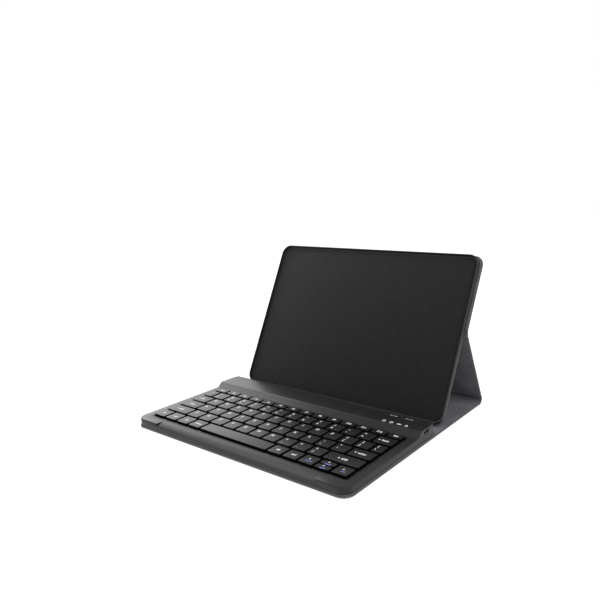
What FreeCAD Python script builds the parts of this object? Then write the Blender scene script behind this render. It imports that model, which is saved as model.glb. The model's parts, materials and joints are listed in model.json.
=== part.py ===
"""Folding keyboard case: leather folio, shallow holding tray and slim wireless keyboard.

Millimetres, +Z up. The origin is the centre of the front cover's underside, where the case stands on
a desk, and +Y runs from the keyboard's front edge towards the spine. The case is open, as a stand.
"""
import FreeCAD, Part
import Sketcher
import math
import os
import re

Vector = FreeCAD.Vector
X_AXIS = Vector(1, 0, 0)
Y_AXIS = Vector(0, 1, 0)

doc = FreeCAD.newDocument("tablet_keyboard_case")
sheet = doc.addObject("Spreadsheet::Sheet", "Sizes")


# Driving dimensions

DRIVING_SIZES = {
    # the folio: leather skin over stiff board, lined with suede cloth
    "case_width": 252,
    "cover_depth": 180.3,
    "skin_thick": 0.7,
    "board_thick": 1.2,
    "lining_thick": 0.5,
    "hem_width": 1.6,
    "panel_corner": 9.5,
    # the four folds: half of each gap between boards, and the lengths from fold to fold
    "front_fold_half": 2.6,
    "spine_pitch": 26.5,
    "strip_pitch": 16.6,
    "rear_fold_half": 7.5,
    "stand_length": 88.4,
    "back_fold_half": 3.2,
    "back_length": 75.2,
    "rear_axis_height": 0.8,
    "back_axis_height": 1.2,
    # the tray, round a flat slab with some play
    "slab_width": 245,
    "slab_height": 160,
    "slab_corner": 9,
    "slab_play": 0.3,
    "tape_thick": 0.3,
    "tape_width": 220,
    "tape_margin": 8,
    "tray_floor": 1.6,
    "tray_wall": 1.2,
    "tray_side_height": 4.6,
    "liner_thick": 0.4,
    "liner_margin": 2,
    "tray_below_fold": 88.4,
    # where the tray's lower back edge stands on the lining, behind the keyboard
    "stand_edge_depth": 145.8,
    "stand_edge_play": 0.35,
    # the keyboard
    "kb_width": 250,
    "kb_front": 0.6,
    "kb_rear": 132,
    "kb_corner": 9.5,
    "kb_wall": 1.4,
    "kb_floor": 1.0,
    "kb_seam": 0.1,
    "foot_thick": 0.3,
    "foot_length": 36,
    "foot_width": 6,
    "foot_line": 95,
    "deck_height": 6.0,
    "deck_thick": 1.3,
    "front_face": 5.2,
    "front_bevel": 0.8,
    "scoop_length": 190,
    "scoop_depth": 7.5,
    "scoop_drop": 1.9,
    "bar_slope_front": 100.5,
    "bar_slope_rear": 105.5,
    "bar_lip": 128.5,
    "bar_height": 10.8,
    "bar_back": 7.0,
    # the keys
    "key_pitch": 16.6,
    "row_pitch": 15.0,
    "key_gap": 2.2,
    "key_slack": 0.45,
    "key_front": 13.5,
    "well_depth": 0.7,
    "function_depth": 8.2,
    "key_rise": 1.8,
    "key_thick": 2.5,
    "key_corner": 1.4,
    "key_edge": 0.45,
    # the layers under the keys
    "plate_front": 10,
    "plate_rear": 100,
    "plate_width": 232.8,
    "plate_thick": 0.5,
    "membrane_thick": 0.3,
    "mat_thick": 0.4,
    "dome_foot": 2.9,
    "dome_top": 1.5,
    "tail_width": 20,
    "tail_place": 30,
    # the electrics in the rear bar
    "battery_left": -98,
    "battery_length": 90,
    "battery_front": 104.4,
    "battery_depth": 18,
    "battery_thick": 4.4,
    "circuit_left": 2,
    "circuit_length": 118,
    "circuit_front": 104.4,
    "circuit_depth": 20,
    "circuit_thick": 1.0,
    "circuit_post": 1.6,
    "side_control_depth": 114,
    "port_width": 7.5,
    "port_height": 2.7,
    "port_length": 5.6,
    "port_wall": 0.4,
    "tongue_width": 5.1,
    "tongue_thick": 0.6,
    "port_set_back": 0.6,
    "switch_slot": 6.6,
    "switch_knob": 3.0,
    "switch_travel": 3.0,
    "switch_height": 2.2,
    "switch_level": 3.8,
    "switch_proud": 0.8,
    "switch_flange": 1.2,
    "light_length": 3.4,
    "light_width": 1.2,
    "light_pitch": 4.4,
    "light_pair_pitch": 16.4,
    "light_first": 84,
    "light_depth": 123,
    # fasteners and magnets along the keyboard's sides
    "fastener_line": 119.8,
    "screw_first": 19,
    "screw_pitch": 28,
    "screw_shank": 0.8,
    "screw_head": 1.6,
    "screw_head_thick": 0.6,
    "boss_radius": 2.3,
    "magnet_radius": 2.8,
    "magnet_thick": 1.5,
    "steel_line": 117.5,
    "steel_width": 8,
    "steel_length": 60,
    "steel_thick": 0.8,
    "steel_front": 18,
}

for row, (alias, number) in enumerate(DRIVING_SIZES.items(), start=1):
    sheet.set(f"A{row}", alias)
    sheet.set(f"B{row}", str(number))
    sheet.setAlias(f"B{row}", alias)
doc.recompute()


def size(formula):
    """A driving dimension, or a formula of them, as a number."""
    return float(sheet.evalExpression(in_sheet(formula)))


def in_sheet(formula):
    """A formula written in the sheet's own words, as one that any object of the document can use."""
    return re.sub(r"[a-z][a-z_]+", lambda word: f"Sizes.{word.group()}", str(formula))


# Formulas that several pieces share

PANEL_THICK = "(skin_thick + board_thick + lining_thick)"
FRONT_AXIS = "(cover_depth + front_fold_half)"
SPINE_AXIS = f"({FRONT_AXIS} + spine_pitch)"
REAR_AXIS = f"({SPINE_AXIS} + strip_pitch)"
BASE_END = f"({REAR_AXIS} - rear_fold_half)"
TRAY_BACK = f"({PANEL_THICK} - back_axis_height + tape_thick)"
POCKET_WIDTH = "(slab_width + 2 * slab_play)"
POCKET_HEIGHT = "(slab_height + 2 * slab_play)"
POCKET_CORNER = "(slab_corner + slab_play)"
DECK_UNDER = "(deck_height - deck_thick)"
PLATE_TOP = "(kb_floor + plate_thick)"
MEMBRANE_TOP = f"({PLATE_TOP} + membrane_thick)"
MAT_TOP = f"({MEMBRANE_TOP} + mat_thick)"
PLAN_MIDDLE = "(kb_front + kb_rear) / 2"
KEY_UNDER = "(deck_height + key_rise - key_thick)"
PORT_LEVEL = "(bar_height - deck_thick - kb_seam - port_height / 2)"
CIRCUIT_TOP = f"({PORT_LEVEL} - port_height / 2)"


def stand_slopes():
    """The slopes of the stand panel and of the back panel, in degrees, with the case open as a stand.

    The fold between the two panels lies where two circles meet: one round the rear fold and one round
    the tray's lower back edge, which stands on the lining.
    """
    fold_rise = size("back_axis_height - rear_axis_height")
    stand_arm = math.hypot(size("stand_length"), fold_rise)
    tray_arm = math.hypot(size("tray_below_fold"), size(TRAY_BACK))
    run = size(f"{REAR_AXIS} - stand_edge_depth")
    drop = size(f"{PANEL_THICK} + stand_edge_play - rear_axis_height")
    base = math.hypot(run, drop)
    base_slope = math.degrees(math.atan2(drop, -run))
    rear_cosine = (stand_arm ** 2 + base ** 2 - tray_arm ** 2) / (2 * stand_arm * base)
    edge_cosine = (tray_arm ** 2 + base ** 2 - stand_arm ** 2) / (2 * tray_arm * base)
    stand = base_slope - math.degrees(math.acos(rear_cosine))
    stand -= math.degrees(math.atan2(fold_rise, size("stand_length")))
    back = base_slope - 180 + math.degrees(math.acos(edge_cosine))
    back += math.degrees(math.atan2(size(TRAY_BACK), size("tray_below_fold")))
    return stand, back


def pose_at(depth, height, slope):
    """A placement at a depth behind the front edge and a height above the desk, turned up by a slope."""
    base = Vector(0, size(f"{depth} - cover_depth / 2"), size(height))
    return FreeCAD.Placement(base, FreeCAD.Rotation(X_AXIS, slope))


stand_slope, back_slope = stand_slopes()
base_pose = pose_at(0, 0, 0)
keyboard_pose = pose_at(0, f"{PANEL_THICK} + foot_thick", 0)
stand_pose = pose_at(REAR_AXIS, "rear_axis_height", stand_slope)
back_fold_point = Vector(0, size("stand_length"), size("back_axis_height - rear_axis_height"))
back_pose = FreeCAD.Placement(
    stand_pose.multVec(back_fold_point), FreeCAD.Rotation(X_AXIS, back_slope))


# Tools for building the pieces

sub_parts = []


def keep(piece, label, pose):
    """Takes a finished piece as a sub-part, under its own name and at its place."""
    piece.Label = label
    piece.Placement = pose
    sub_parts.append(piece)


def bind(feature, prop, formula):
    feature.setExpression(prop, in_sheet(formula))


def bind_box(box, spans):
    """Sizes and places a box by its (low, high) formulas along X, Y and Z."""
    for prop, axis, (low, high) in zip(("Length", "Width", "Height"), "xyz", spans):
        bind(box, prop, f"( {high} ) - ( {low} )")
        bind(box, f"Placement.Base.{axis}", low)
    return box


def across(width, middle=0):
    """A span of some width about a middle."""
    return f"{middle} - ( {width} ) / 2", f"{middle} + ( {width} ) / 2"


def new_body(name):
    return doc.addObject("PartDesign::Body", name)


def add_box(body, name, *spans):
    return bind_box(body.newObject("PartDesign::AdditiveBox", name), spans)


def cut_box(body, name, *spans):
    return bind_box(body.newObject("PartDesign::SubtractiveBox", name), spans)


def loose_box(name, *spans):
    return bind_box(doc.addObject("Part::Box", name), spans)


def loose_cylinder(name, radius, x, y, low, high):
    """An upright cylinder, by its radius, its place in plan and the levels of its two ends."""
    cylinder = doc.addObject("Part::Cylinder", name)
    bind(cylinder, "Radius", radius)
    bind(cylinder, "Height", f"( {high} ) - ( {low} )")
    for axis, place in zip("xyz", (x, y, low)):
        bind(cylinder, f"Placement.Base.{axis}", place)
    return cylinder


def group(name, pieces):
    compound = doc.addObject("Part::Compound", name)
    compound.Links = pieces
    return compound


def fused(name, pieces):
    fuse = doc.addObject("Part::MultiFuse", name)
    fuse.Shapes = pieces
    return fuse


def cut_from(name, base, tool):
    cut = doc.addObject("Part::Cut", name)
    cut.Base = base
    cut.Tool = tool
    return cut


def is_upright(edge):
    first = edge.Vertexes[0].Point
    last = edge.Vertexes[-1].Point
    return math.hypot(first.x - last.x, first.y - last.y) < 1e-6 < abs(first.z - last.z)


def round_corners(body, name, radius, depth):
    """Rounds the body's upright edges that stand at one depth."""
    doc.recompute()
    base = body.Tip
    fillet = body.newObject("PartDesign::Fillet", name)
    fillet.Base = (base, [
        f"Edge{number}" for number, edge in enumerate(base.Shape.Edges, start=1)
        if is_upright(edge) and abs(edge.Vertexes[0].Point.y - size(depth)) < 1e-4])
    bind(fillet, "Radius", radius)


def new_sketch(body, name, role):
    plane = next(f for f in body.Origin.OriginFeatures if f.Role == role)
    sketch = body.newObject("Sketcher::SketchObject", name)
    sketch.AttachmentSupport = [(plane, "")]
    sketch.MapMode = "FlatFace"
    return sketch


def bind_constraint(sketch, formula, kind, *ends):
    number = sketch.addConstraint(Sketcher.Constraint(kind, *ends, size(formula)))
    bind(sketch, f"Constraints[{number}]", formula)


def side_profile(body, name, points):
    """A closed outline in the case's side view, from (depth, height) formulas."""
    sketch = new_sketch(body, name, "YZ_Plane")
    corners = [Vector(size(y), size(z), 0) for y, z in points]
    count = len(corners)
    for number, corner in enumerate(corners):
        sketch.addGeometry(Part.LineSegment(corner, corners[(number + 1) % count]))
    for number, (y, z) in enumerate(points):
        sketch.addConstraint(Sketcher.Constraint("Coincident", (number - 1) % count, 2, number, 1))
        bind_constraint(sketch, y, "DistanceX", -1, 1, number, 1)
        if z == 0:
            sketch.addConstraint(Sketcher.Constraint("PointOnObject", number, 1, -1))
        else:
            bind_constraint(sketch, z, "DistanceY", -1, 1, number, 1)
    return sketch


def rounded_plan(body, name, width, depth, corner, middle=0, level=0):
    """A rectangle with round corners in plan, centred across the case, at a level."""
    sketch = new_sketch(body, name, "XY_Plane")
    half_width, half_depth, radius = size(width) / 2, size(depth) / 2, size(corner)
    inner_x, inner_y = half_width - radius, half_depth - radius
    sides = [
        ((-inner_x, -half_depth), (inner_x, -half_depth)),
        ((half_width, -inner_y), (half_width, inner_y)),
        ((inner_x, half_depth), (-inner_x, half_depth)),
        ((-half_width, inner_y), (-half_width, -inner_y)),
    ]
    for start, end in sides:
        sketch.addGeometry(Part.LineSegment(Vector(*start, 0), Vector(*end, 0)))
    centres = [(inner_x, -inner_y), (inner_x, inner_y), (-inner_x, inner_y), (-inner_x, -inner_y)]
    for quarter, centre in enumerate(centres):
        circle = Part.Circle(Vector(*centre, 0), Vector(0, 0, 1), radius)
        start = math.radians(90 * (quarter - 1))
        sketch.addGeometry(Part.ArcOfCircle(circle, start, start + math.pi / 2))
    for side in range(4):
        sketch.addConstraint(Sketcher.Constraint("Tangent", side, 2, 4 + side, 1))
        sketch.addConstraint(Sketcher.Constraint("Tangent", 4 + side, 2, (side + 1) % 4, 1))
    for arc in (5, 6, 7):
        sketch.addConstraint(Sketcher.Constraint("Equal", 4, arc))
    sketch.addConstraint(Sketcher.Constraint("Horizontal", 0))
    sketch.addConstraint(Sketcher.Constraint("Symmetric", 5, 3, 7, 3, -1, 1))
    bind_constraint(sketch, corner, "Radius", 4)
    bind_constraint(sketch, width, "DistanceX", 3, 1, 1, 1)
    bind_constraint(sketch, depth, "DistanceY", 0, 1, 2, 1)
    bind(sketch, "AttachmentOffset.Base.y", middle)
    bind(sketch, "AttachmentOffset.Base.z", level)
    return sketch


def pad(body, name, sketch, length, side="One side"):
    feature = body.newObject("PartDesign::Pad", name)
    feature.Profile = sketch
    feature.SideType = side
    bind(feature, "Length", length)


def pocket(body, name, sketch, length, side="One side"):
    """Cuts a sketch into the body, and makes sure that it took something away."""
    doc.recompute()
    before = body.Tip.Shape.Volume
    feature = body.newObject("PartDesign::Pocket", name)
    feature.Profile = sketch
    feature.SideType = side
    bind(feature, "Length", length)
    doc.recompute()
    assert feature.Shape.Volume < before - 1, f"{name} cuts nothing"


# The folio's flat panels

def rounded_slab(name, spans, radius, corner_depth=None):
    """A flat slab, by its spans. Its two corners at one depth are rounded."""
    body = new_body(name)
    add_box(body, f"{name}_slab", *spans)
    if corner_depth:
        round_corners(body, f"{name}_corners", radius, corner_depth)
    return body


def panel_layer(label, pose, width, ends, levels, corner_depth=None):
    """A flat layer of a panel, inside the hem of its skin."""
    spans = across(width), ends, levels
    layer = rounded_slab(label, spans, "panel_corner - hem_width", corner_depth)
    keep(layer, label, pose)
    return layer


def panel_skin(label, pose, ends, outer, hemmed_end=None):
    """Leather on a panel's outside, turned over its sides, and over one end where it has a hem."""
    low, high = ends
    inner_low, inner_high = f"{low} - 1", f"{high} + 1"
    hem_line = None
    if hemmed_end == low:
        inner_low = hem_line = f"{low} + hem_width"
    if hemmed_end == high:
        inner_high = hem_line = f"{high} - hem_width"
    whole_spans = across("case_width"), ends, (outer, f"{outer} + {PANEL_THICK}")
    inside_spans = (across("case_width - 2 * hem_width"), (inner_low, inner_high),
                    (f"{outer} + skin_thick", f"{outer} + {PANEL_THICK} + 1"))
    whole = rounded_slab(f"{label}_whole", whole_spans, "panel_corner", hemmed_end)
    inside = rounded_slab(f"{label}_inside", inside_spans, "panel_corner - hem_width", hem_line)
    keep(cut_from(label, whole, inside), label, pose)


def folio_levels(outer):
    """The levels of the board and of the lining over a panel's outer face."""
    board = f"{outer} + skin_thick", f"{outer} + skin_thick + board_thick"
    lining = board[1], f"{outer} + {PANEL_THICK}"
    return board, lining


def make_base_cover():
    """The front cover, the spine and the strip behind it: one skin and one lining over three boards."""
    inner_width = "case_width - 2 * hem_width"
    board, lining = folio_levels("0")
    panel_skin("base_skin", base_pose, ("0", BASE_END), "0", hemmed_end="0")
    cover_ends = "hem_width", "cover_depth"
    front = panel_layer("front_board", base_pose, inner_width, cover_ends, board, "hem_width")
    steel_ends = "steel_front", "steel_front + steel_length"
    steel_levels = f"{board[1]} - steel_thick", board[1]
    strips = []
    for number, side in enumerate(("-steel_line", "steel_line"), start=1):
        spans = across("steel_width", side), steel_ends, steel_levels
        cut_box(front, f"steel_pocket_{number}", *spans)
        strips.append(loose_box(f"steel_strip_{number}", *spans))
    keep(group("steel_strips", strips), "cover_steel_strips", base_pose)
    spine_ends = f"{FRONT_AXIS} + front_fold_half", f"{SPINE_AXIS} - front_fold_half"
    panel_layer("spine_board", base_pose, inner_width, spine_ends, board)
    strip_ends = f"{SPINE_AXIS} + front_fold_half", BASE_END
    panel_layer("strip_board", base_pose, inner_width, strip_ends, board)
    panel_layer("base_lining", base_pose, inner_width, ("hem_width", BASE_END), lining, "hem_width")


def make_stand_panel():
    """The panel that props the back up: skin, board and lining between the two folds."""
    inner_width = "case_width - 2 * hem_width"
    ends = "rear_fold_half", "stand_length - back_fold_half"
    board, lining = folio_levels("- rear_axis_height")
    panel_skin("stand_skin", stand_pose, ends, "- rear_axis_height")
    panel_layer("stand_board", stand_pose, inner_width, ends, board)
    panel_layer("stand_lining", stand_pose, inner_width, ends, lining)


def make_back_panel():
    """The upper back panel, which carries the tray."""
    inner_width = "case_width - 2 * hem_width"
    hem_line = "back_length - hem_width"
    board, lining = folio_levels("- back_axis_height")
    skin_ends = "back_fold_half", "back_length"
    inner_ends = "back_fold_half", hem_line
    panel_skin("back_skin", back_pose, skin_ends, "- back_axis_height", "back_length")
    panel_layer("back_board", back_pose, inner_width, inner_ends, board, hem_line)
    panel_layer("back_lining", back_pose, inner_width, inner_ends, lining, hem_line)


# The two folds that bend: leather and lining alone, drawn as they lie in the open stand

def fold_strip(label, pose, radius, thickness, turn, start, depth, height):
    """A bent strip across the case: part of a tube, from a start angle below the level and up by a turn."""
    outer = doc.addObject("Part::Cylinder", f"{label}_outer")
    inner = doc.addObject("Part::Cylinder", f"{label}_inner")
    bind(outer, "Radius", radius + thickness)
    bind(inner, "Radius", radius)
    for cylinder in (outer, inner):
        bind(cylinder, "Height", "case_width")
        bind(cylinder, "Angle", turn)
        lying = FreeCAD.Rotation(X_AXIS, start).multiply(FreeCAD.Rotation(Y_AXIS, 90))
        cylinder.Placement = FreeCAD.Placement(
            Vector(-size("case_width") / 2, size(depth), size(height)), lying)
    keep(cut_from(label, outer, inner), label, pose)


def make_folds():
    """The rear fold, bent loosely up from the strip, and the back fold, creased the other way."""
    thickness = size("skin_thick + lining_thick")
    half_turn = math.radians(stand_slope / 2)
    reach = size("rear_fold_half") / math.tan(half_turn) + size("rear_axis_height")
    fold_strip("rear_fold_strip", base_pose, reach - thickness, thickness, stand_slope, 0,
               BASE_END, reach)
    turn = stand_slope - back_slope
    half_turn = math.radians(turn / 2)
    radius = size("back_fold_half") / math.tan(half_turn) - size("back_axis_height")
    fold_strip("back_fold_strip", stand_pose, radius, thickness, turn, 180 - turn,
               "stand_length - back_fold_half", f"- rear_axis_height - {radius}")


# The holding tray

def make_tray():
    """A shallow moulded tray with low sides, a soft liner on its floor and its mounting tape."""
    middle = f"{POCKET_HEIGHT} / 2 + tray_wall - tray_below_fold"
    top = f"{TRAY_BACK} + tray_side_height"
    floor = f"{TRAY_BACK} + tray_floor"
    tray = new_body("tray")
    outline = rounded_plan(
        tray, "tray_outline", f"{POCKET_WIDTH} + 2 * tray_wall", f"{POCKET_HEIGHT} + 2 * tray_wall",
        f"{POCKET_CORNER} + tray_wall", middle, TRAY_BACK)
    pad(tray, "tray_block", outline, "tray_side_height")
    seat = rounded_plan(tray, "tray_seat", POCKET_WIDTH, POCKET_HEIGHT, POCKET_CORNER, middle, top)
    pocket(tray, "tray_pocket", seat, "tray_side_height - tray_floor")
    keep(tray, "tray", back_pose)
    liner = new_body("tray_liner")
    liner_plan = rounded_plan(
        liner, "liner_outline", f"{POCKET_WIDTH} - 2 * liner_margin", f"{POCKET_HEIGHT} - 2 * liner_margin",
        f"{POCKET_CORNER} - liner_margin", middle, floor)
    pad(liner, "liner_sheet", liner_plan, "liner_thick")
    keep(liner, "tray_liner", back_pose)
    tape_ends = "tape_margin", f"{POCKET_HEIGHT} - tray_below_fold - tape_margin"
    panel_layer("tray_tape", back_pose, "tape_width", tape_ends, (f"{TRAY_BACK} - tape_thick", TRAY_BACK))


# The key layout

class Key:
    """One key: the node that it belongs to and its place in the key field, as formulas."""

    def __init__(self, node, first_unit, units, front, depth):
        self.node = node
        self.width = f"({units} * key_pitch - key_gap)"
        self.middle_x = f"({first_unit + units / 2 - ROW_UNITS / 2} * key_pitch)"
        self.depth = depth
        self.middle_y = f"({front} + {depth} / 2)"


ROW_UNITS = 14
ROW_DEPTH = "(row_pitch - key_gap)"
HALF_KEY_DEPTH = "((row_pitch - key_gap - key_gap / 2) / 2)"

# rows of keys from the front to the rear, each key with its node and its width in key units
KEY_ROWS = [
    [("modifier_keys", 1)] * 4 + [("space_bar", 5)] + [("modifier_keys", 1)] * 2
    + [("left_arrow_key", 1), ("up_and_down", 1), ("right_arrow_key", 1)],
    [("left_shift_key", 1.75)] + [("lower_letter_keys", 1)] * 10 + [("right_shift_key", 2.25)],
    [("caps_lock_key", 1.5)] + [("home_letter_keys", 1)] * 11 + [("enter_key", 1.5)],
    [("tab_key", 1.25)] + [("upper_letter_keys", 1)] * 12 + [("upper_letter_keys", 0.75)],
    [("number_keys", 0.75)] + [("number_keys", 1)] * 12 + [("backspace_key", 1.25)],
    [("escape_key", 1)] + [("function_keys", 1)] * 13,
]


def plan_keys():
    """Every key, with the up and down arrows sharing one place as two half-deep keys."""
    keys = []
    for number, row in enumerate(KEY_ROWS):
        front = f"(key_front + {number} * row_pitch)"
        depth = ROW_DEPTH if number < 5 else "function_depth"
        unit = 0
        for node, units in row:
            if node == "up_and_down":
                rear_half = f"({front} + {HALF_KEY_DEPTH} + key_gap / 2)"
                keys.append(Key("down_arrow_key", unit, units, front, HALF_KEY_DEPTH))
                keys.append(Key("up_arrow_key", unit, units, rear_half, HALF_KEY_DEPTH))
            else:
                keys.append(Key(node, unit, units, front, depth))
            unit += units
    return keys


key_plan = plan_keys()


# The keyboard's two case halves

def fastener_places():
    """Where the case screws stand, along both sides of the keyboard."""
    for side in ("-fastener_line", "fastener_line"):
        for number in range(3):
            yield side, f"screw_first + {number} * screw_pitch"


def make_top_block():
    """The top case as a solid block: deck, thumb scoop, and rear bar with a bevel along its back."""
    block = new_body("top_case_block")
    outline = rounded_plan(
        block, "top_case_plan", "kb_width", "kb_rear - kb_front", "kb_corner", PLAN_MIDDLE)
    pad(block, "top_case_pad", outline, "bar_height")
    ahead, above = "kb_front / 2", "bar_height + 1"
    deck = side_profile(block, "deck_profile", [
        (ahead, "front_face"), ("kb_front", "front_face"), ("kb_front + front_bevel", "deck_height"),
        ("bar_slope_front", "deck_height"), ("bar_slope_rear", "bar_height"), ("bar_slope_rear", above),
        (ahead, above)])
    pocket(block, "deck_cut", deck, "kb_width + 2", "Symmetric")
    scoop_low = "deck_height - scoop_drop"
    scoop = side_profile(block, "scoop_profile", [
        (ahead, scoop_low), ("kb_front", scoop_low), ("kb_front + scoop_depth", "deck_height"),
        ("kb_front + scoop_depth", above), (ahead, above)])
    pocket(block, "scoop_cut", scoop, "scoop_length", "Symmetric")
    behind = "kb_rear + 1"
    bevel = side_profile(block, "bar_back_profile", [
        ("bar_lip", "bar_height"), ("kb_rear", "bar_back"), (behind, "bar_back"), (behind, above),
        ("bar_lip", above)])
    pocket(block, "bar_back_cut", bevel, "kb_width + 2", "Symmetric")
    return block


def make_top_hollow():
    """The space inside the top case, open below."""
    plan = new_body("hollow_plan")
    outline = rounded_plan(
        plan, "hollow_outline", "kb_width - 2 * kb_wall", "kb_rear - kb_front - 2 * kb_wall",
        "kb_corner - kb_wall", PLAN_MIDDLE)
    pad(plan, "hollow_pad", outline, "bar_height")
    side = new_body("hollow_side")
    front, rear = "kb_front + kb_wall", "kb_rear - kb_wall"
    profile = side_profile(side, "hollow_profile", [
        (front, 0), (rear, 0), (rear, "bar_back - kb_wall / 2"),
        ("bar_lip - kb_wall / 2", "bar_height - deck_thick"),
        ("bar_slope_rear + kb_wall / 2", "bar_height - deck_thick"),
        ("bar_slope_front + kb_wall / 2", DECK_UNDER), ("kb_front + scoop_depth + kb_wall", DECK_UNDER),
        (front, "deck_height - scoop_drop - kb_wall / 4")])
    pad(side, "hollow_side_pad", profile, "kb_width", "Symmetric")
    hollow = doc.addObject("Part::Common", "top_case_hollow")
    hollow.Base = plan
    hollow.Tool = side
    return hollow


def wall_openings():
    """What is cut out of the top case: the sunken key field, and openings for keys, lights, port,
    switch and screw pilots."""
    field_ends = "key_front - key_gap / 2", "key_front + 5 * row_pitch + function_depth + key_gap / 2"
    yield loose_box("key_well", across(f"{ROW_UNITS} * key_pitch"), field_ends,
                    ("deck_height - well_depth", "deck_height + 1"))
    play = "2 * key_slack"
    for number, key in enumerate(key_plan, start=1):
        yield loose_box(f"key_opening_{number}", across(f"{key.width} + {play}", key.middle_x),
                        across(f"{key.depth} + {play}", key.middle_y),
                        (f"{DECK_UNDER} - 1", "deck_height + 1"))
    for number, spans in enumerate(light_spans(), start=1):
        yield loose_box(f"light_opening_{number}", *spans)
    outside = "(kb_width / 2 + 1)"
    yield loose_box("port_opening", (f"{outside} - 2 * kb_wall - 1", outside),
                    across(f"port_width + {play}", "side_control_depth"),
                    across(f"port_height + {play} / 2", PORT_LEVEL))
    yield loose_box("switch_opening", (f"- {outside}", f"2 * kb_wall + 1 - {outside}"),
                    across("switch_slot", "side_control_depth"),
                    across(f"switch_height + {play} / 2", "switch_level"))
    for number, (x, y) in enumerate(fastener_places(), start=1):
        yield loose_cylinder(f"pilot_{number}", "screw_shank", x, y, 0, f"{DECK_UNDER} - screw_head_thick")


def make_top_case():
    """The moulded top case, with bosses for its screws inside."""
    shell = cut_from("top_case_shell", make_top_block(), make_top_hollow())
    bosses = [
        loose_cylinder(f"boss_{number}", "boss_radius", x, y, "kb_floor", f"{DECK_UNDER} + deck_thick / 4")
        for number, (x, y) in enumerate(fastener_places(), start=1)]
    solid = fused("top_case_solid", [shell] + bosses)
    openings = group("top_case_openings", list(wall_openings()))
    keep(cut_from("keyboard_top_case", solid, openings), "keyboard_top_case", keyboard_pose)


def make_bottom_case():
    """The flat bottom case, let into the top case's rim, with six sunk screws and four rubber feet."""
    plate = new_body("bottom_plate")
    inset = "2 * (kb_wall + kb_seam)"
    outline = rounded_plan(
        plate, "bottom_outline", f"kb_width - {inset}", f"kb_rear - kb_front - {inset}",
        "kb_corner - kb_wall - kb_seam", PLAN_MIDDLE)
    pad(plate, "bottom_pad", outline, "kb_floor")
    holes = []
    screws = []
    for number, (x, y) in enumerate(fastener_places(), start=1):
        holes.append(loose_cylinder(
            f"screw_hole_{number}", "screw_shank + kb_seam", x, y, "-1", "kb_floor + 1"))
        holes.append(loose_cylinder(
            f"head_recess_{number}", "screw_head + kb_seam", x, y, "-1", "screw_head_thick"))
        head = loose_cylinder(f"screw_head_{number}", "screw_head", x, y, 0, "screw_head_thick")
        shank_end = f"{DECK_UNDER} - deck_thick"
        shank = loose_cylinder(f"screw_shank_{number}", "screw_shank", x, y, 0, shank_end)
        screws.append(fused(f"screw_{number}", [head, shank]))
    bottom = cut_from("bottom_case", plate, group("bottom_holes", holes))
    keep(bottom, "keyboard_bottom_case", keyboard_pose)
    keep(group("screws", screws), "case_screws", keyboard_pose)
    feet = []
    for side in ("-foot_line", "foot_line"):
        for edge in ("kb_front + kb_corner + foot_width", "kb_rear - kb_corner - foot_width"):
            feet.append(loose_box(f"foot_{len(feet) + 1}", across("foot_length", side),
                                  across("foot_width", edge), ("-foot_thick", "0")))
    keep(group("feet", feet), "rubber_feet", keyboard_pose)


# The keys

def rounded_edges(name, solid, radius, wanted):
    """Rounds the wanted edges of a loose solid."""
    fillet = doc.addObject("Part::Fillet", name)
    fillet.Base = solid
    fillet.Edges = [(number, radius, radius) for number, edge in enumerate(solid.Shape.Edges, start=1)
                    if wanted(edge)]
    return fillet


def make_keys():
    """The keycaps: round-cornered slabs with softened top edges, grouped by node."""
    top = "(deck_height + key_rise)"
    blanks = [
        loose_box(f"key_blank_{number}", across(key.width, key.middle_x), across(key.depth, key.middle_y),
                  (KEY_UNDER, top))
        for number, key in enumerate(key_plan, start=1)]
    doc.recompute()
    cornered = [rounded_edges(f"key_corners_{number}", blank, size("key_corner"), is_upright)
                for number, blank in enumerate(blanks, start=1)]
    doc.recompute()
    caps = {}
    for number, (key, solid) in enumerate(zip(key_plan, cornered), start=1):
        cap = rounded_edges(f"keycap_{number}", solid, size("key_edge"),
                            lambda edge: edge.BoundBox.ZMin > size(top) - 1e-4)
        caps.setdefault(key.node, []).append(cap)
    for node, pieces in caps.items():
        keep(group(f"{node}_caps", pieces), node, keyboard_pose)


# The layers under the keys

def make_key_layers():
    """A steel plate, a printed membrane with its tail, and a rubber mat with a dome under each key."""
    ends = "plate_front", "plate_rear"
    plate = new_body("key_plate_body")
    add_box(plate, "key_plate_sheet", across("plate_width"), ends, ("kb_floor", PLATE_TOP))
    keep(plate, "key_plate", keyboard_pose)
    membrane = new_body("membrane_body")
    add_box(membrane, "membrane_sheet", across("plate_width"), ends, (PLATE_TOP, MEMBRANE_TOP))
    tail_sides = "tail_place", "tail_place + tail_width"
    add_box(membrane, "membrane_tail", tail_sides, ("plate_rear - 1", "circuit_front"),
            (PLATE_TOP, MEMBRANE_TOP))
    add_box(membrane, "membrane_riser", tail_sides, ("circuit_front - membrane_thick", "circuit_front"),
            (PLATE_TOP, CIRCUIT_TOP))
    keep(membrane, "membrane", keyboard_pose)
    pieces = [loose_box("mat_sheet", across("plate_width"), ends, (MEMBRANE_TOP, MAT_TOP))]
    for number, key in enumerate(key_plan, start=1):
        dome = doc.addObject("Part::Cone", f"dome_{number}")
        bind(dome, "Radius1", "dome_foot")
        bind(dome, "Radius2", "dome_top")
        bind(dome, "Height", f"{KEY_UNDER} - {MAT_TOP}")
        for axis, place in zip("xyz", (key.middle_x, key.middle_y, MAT_TOP)):
            bind(dome, f"Placement.Base.{axis}", place)
        pieces.append(dome)
    keep(fused("dome_mat_solid", pieces), "dome_mat", keyboard_pose)


# The electrics in the rear bar

def light_spans():
    """The four indicator lights, in two pairs, which run through the top of the rear bar."""
    for pair in range(2):
        for number in range(2):
            place = f"light_first + {pair} * light_pair_pitch + {number} * light_pitch"
            yield (across("light_length", place), across("light_width", "light_depth"),
                   ("bar_height - deck_thick", "bar_height"))


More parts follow.
